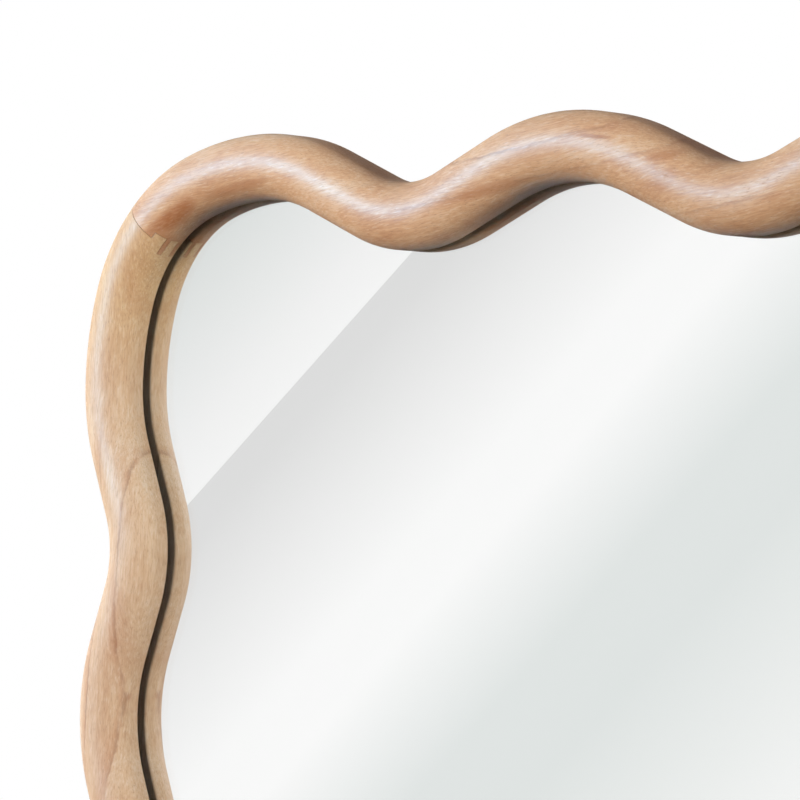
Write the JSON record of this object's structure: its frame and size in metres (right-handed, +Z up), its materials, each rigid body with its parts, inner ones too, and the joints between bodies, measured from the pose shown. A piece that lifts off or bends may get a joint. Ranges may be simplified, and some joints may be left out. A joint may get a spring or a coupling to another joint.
{
  "type": "wall mirror",
  "caption": "Upright wall mirror in a wavy, domed solid-wood frame with rounded finger-jointed corners, hung by swinging D-rings on its back.",
  "frame": {"origin": "centre of the mirror on the wall plane, which the bumpers' faces touch", "axes": "+Z up, +Y into the wall, -Y out of the front, +X to the right as seen from the front"},
  "size_m": [0.7, 0.036, 1],
  "materials": {
    "frame_wood": "clear satin oil on pale brown hardwood",
    "mirror": "clear float glass silvered on its back",
    "foam": "thin white foam",
    "hardboard": "smooth brown hardboard",
    "hanger_steel": "zinc plated",
    "screw_steel": "zinc plated",
    "bumper_rubber": "matt black"
  },
  "bodies": {
    "frame": {"top_rail": "frame_wood", "bottom_rail": "frame_wood", "left_stile": "frame_wood", "right_stile": "frame_wood", "mirror_glass": "mirror", "foam_sheet": "foam", "back_board": "hardboard", "back_board_screws": "screw_steel", "hanger_strap_left": "hanger_steel", "hanger_screws_left": "screw_steel", "hanger_strap_right": "hanger_steel", "hanger_screws_right": "screw_steel", "hanger_strap_top": "hanger_steel", "hanger_screws_top": "screw_steel", "hanger_strap_bottom": "hanger_steel", "hanger_screws_bottom": "screw_steel", "wall_bumper_top_left": "bumper_rubber", "wall_bumper_top_right": "bumper_rubber", "wall_bumper_bottom_left": "bumper_rubber", "wall_bumper_bottom_right": "bumper_rubber"},
    "left_ring": {"hanger_ring_left": "hanger_steel"},
    "right_ring": {"hanger_ring_right": "hanger_steel"},
    "top_ring": {"hanger_ring_top": "hanger_steel"},
    "bottom_ring": {"hanger_ring_bottom": "hanger_steel"}
  },
  "joints": [
    {"name": "left_ring_swing", "type": "hinge", "parent": "frame", "child": "left_ring", "pos_m": [-0.339, -0.00344, 0.18975], "axis": [-1, 0, 0], "range_deg": [0, 174]},
    {"name": "right_ring_swing", "type": "hinge", "parent": "frame", "child": "right_ring", "pos_m": [0.339, -0.00344, 0.18975], "axis": [-1, 0, 0], "range_deg": [0, 174]},
    {"name": "top_ring_swing", "type": "hinge", "parent": "frame", "child": "top_ring", "pos_m": [-0.2225, -0.00344, 0.489], "axis": [0, 0, -1], "range_deg": [0, 174]},
    {"name": "bottom_ring_swing", "type": "hinge", "parent": "frame", "child": "bottom_ring", "pos_m": [-0.2225, -0.00344, -0.489], "axis": [0, 0, -1], "range_deg": [0, 174]}
  ]
}
